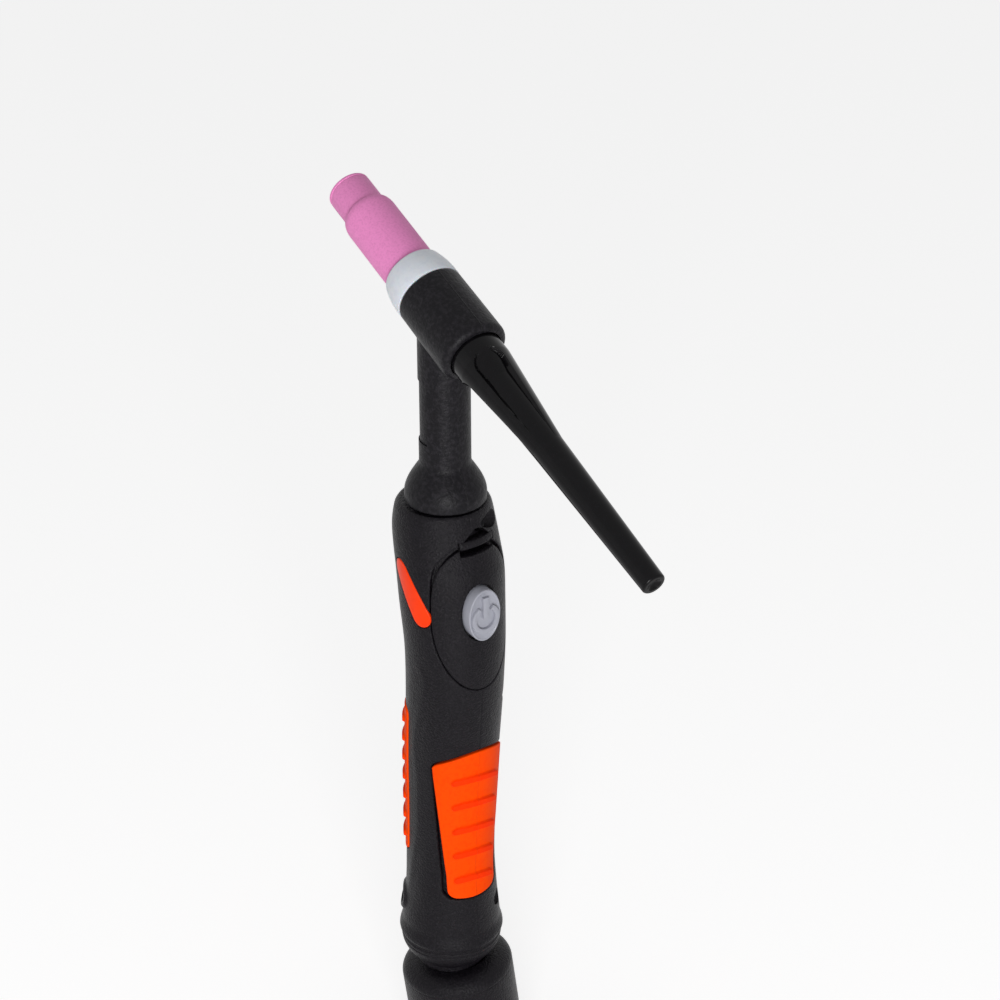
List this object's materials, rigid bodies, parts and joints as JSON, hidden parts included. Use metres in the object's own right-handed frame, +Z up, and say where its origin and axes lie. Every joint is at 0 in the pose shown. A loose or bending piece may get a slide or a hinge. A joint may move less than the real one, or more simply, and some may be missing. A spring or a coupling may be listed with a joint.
{
  "type": "tig welding torch",
  "caption": "Gas-cooled TIG welding torch with a raked head, ceramic nozzle, long back cap, push-button handle with soft grips and a ball-joint cable cuff.",
  "frame": {"origin": "on the handle's axis, in the middle of the straight neck, 30 mm above the collar's rim", "axes": "+Z up the handle towards the head, +X towards the switch and the back cap; the nozzle points to -X and up"},
  "size_m": [0.1706, 0.0432, 0.3239],
  "materials": {
    "alumina": "matt fired alumina ceramic",
    "ptfe": "smooth PTFE",
    "head_rubber": "matt moulded silicone rubber",
    "brass": "turned",
    "copper": "drawn copper",
    "tungsten": "ground tungsten",
    "phenolic": "glossy black phenolic",
    "seal_rubber": "smooth",
    "handle_plastic": "fine spark-textured polyamide",
    "steel": "zinc plated",
    "button_plastic": "satin grey moulding",
    "switch_body": "moulded",
    "plunger_plastic": "moulded",
    "board": "green solder resist",
    "label": "bare orange-red badge",
    "grip": "soft-touch elastomer",
    "joint_plastic": "smooth acetal"
  },
  "bodies": {
    "torch": {"head_cover": "head_rubber", "head_core": "brass", "neck_tube": "copper", "power_union": "brass", "collet_body": "copper", "collet": "copper", "handle_shell_left": "handle_plastic", "handle_shell_right": "handle_plastic", "handle_screws": "steel", "switch_cover": "handle_plastic", "button_springs": "steel", "microswitch": "switch_body", "switch_board": "board", "switch_terminals": "brass", "board_screws": "steel", "label_plate": "label", "front_grip": "grip", "rear_grip": "grip"},
    "gasket": {"cup_gasket": "ptfe"},
    "nozzle": {"nozzle": "alumina"},
    "cap_ring": {"cap_o_ring": "seal_rubber"},
    "cap": {"back_cap": "phenolic"},
    "electrode": {"electrode": "tungsten"},
    "button": {"button": "button_plastic"},
    "plunger": {"switch_plunger": "plunger_plastic"},
    "seat": {"ball_seat": "joint_plastic"},
    "ball": {"swivel_ball": "joint_plastic", "cuff_clip": "steel"},
    "cuff": {"cable_cuff": "handle_plastic"}
  },
  "joints": [
    {"name": "gasket_travel", "type": "slide", "parent": "torch", "child": "gasket", "axis": [-0.9272, 0, 0.3746], "range_m": [0, 0.005]},
    {"name": "nozzle_spin", "type": "hinge", "parent": "gasket", "child": "nozzle", "pos_m": [-0.03338, 0, 0.04859], "axis": [-0.9272, 0, 0.3746], "range_deg": [0, 1200]},
    {"name": "cap_travel", "type": "slide", "parent": "torch", "child": "cap_ring", "axis": [0.9272, 0, -0.3746], "range_m": [0, 0.006]},
    {"name": "cap_spin", "type": "hinge", "parent": "cap_ring", "child": "cap", "pos_m": [0.05563, 0, 0.01262], "axis": [0.9272, 0, -0.3746], "range_deg": [0, 2160]},
    {"name": "electrode_feed", "type": "slide", "parent": "torch", "child": "electrode", "axis": [-0.9272, 0, 0.3746], "range_m": [-0.008, 0.012]},
    {"name": "button_press", "type": "slide", "parent": "torch", "child": "button", "axis": [-1, 0, 0], "range_m": [0, 0.0013], "stiffness_N_per_m": 1500, "springref_m": -0.0005, "deforming": ["button_springs"]},
    {"name": "plunger_press", "type": "slide", "parent": "torch", "child": "plunger", "axis": [-1, 0, 0], "range_m": [0, 0.0013]},
    {"name": "seat_spin", "type": "hinge", "parent": "torch", "child": "seat", "pos_m": [0, 0, -0.202], "axis": [0, 0, 1], "continuous": true},
    {"name": "ball_tilt", "type": "hinge", "parent": "seat", "child": "ball", "pos_m": [0, 0, -0.202], "axis": [0.829, -0.5592, 0], "range_deg": [-25, 11]},
    {"name": "cuff_twist", "type": "hinge", "parent": "ball", "child": "cuff", "pos_m": [0.00204, 0.00303, -0.23178], "axis": [0.0681, 0.101, -0.9925], "continuous": true}
  ],
  "couplings": [
    {"joint": "gasket_travel", "follows": "nozzle_spin", "m_per_rad": 0.00023873},
    {"joint": "cap_travel", "follows": "cap_spin", "m_per_rad": 0.00015915},
    {"joint": "plunger_press", "follows": "button_press", "ratio": 1}
  ]
}
